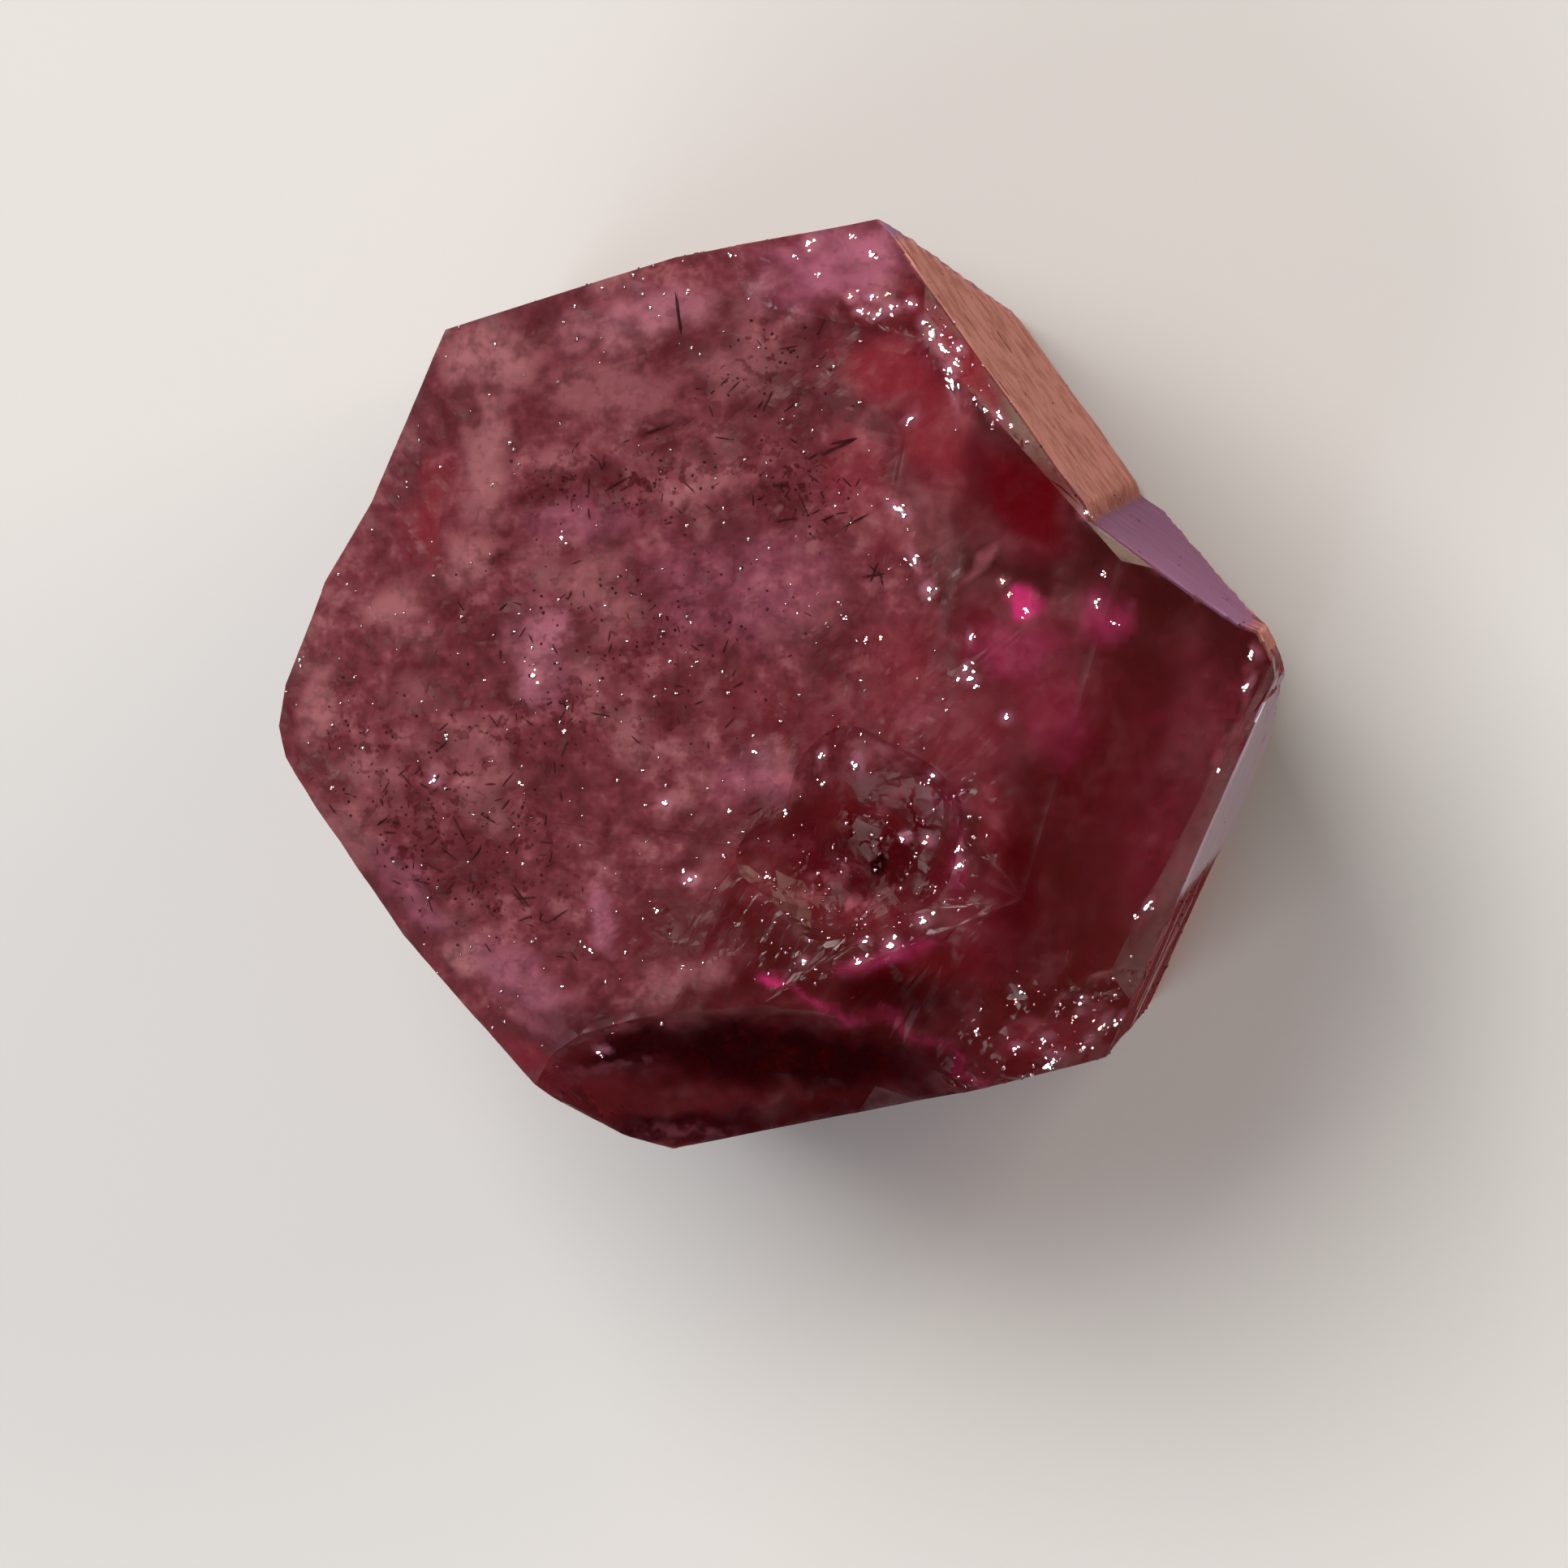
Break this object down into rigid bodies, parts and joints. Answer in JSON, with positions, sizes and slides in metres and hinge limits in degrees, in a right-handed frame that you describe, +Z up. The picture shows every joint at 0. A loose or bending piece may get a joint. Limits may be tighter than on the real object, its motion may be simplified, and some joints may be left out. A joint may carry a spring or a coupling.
{
  "type": "red beryl crystal",
  "caption": "A stubby six-sided red beryl crystal with a rough growth face, glossy facets and shell fractures, standing on its flat base.",
  "frame": {"origin": "the middle of the crystal's box in plan, on the flat basal plane it stands on", "axes": "+Z runs up the crystal's long growth axis (c-axis) to the rough end; +X points to the corner between the glossy facet and the chipped right edge"},
  "size_m": [0.012, 0.0112, 0.0076],
  "materials": {
    "red_beryl": "satin"
  },
  "bodies": {
    "root": {"red_beryl_crystal": "red_beryl"}
  },
  "joints": []
}
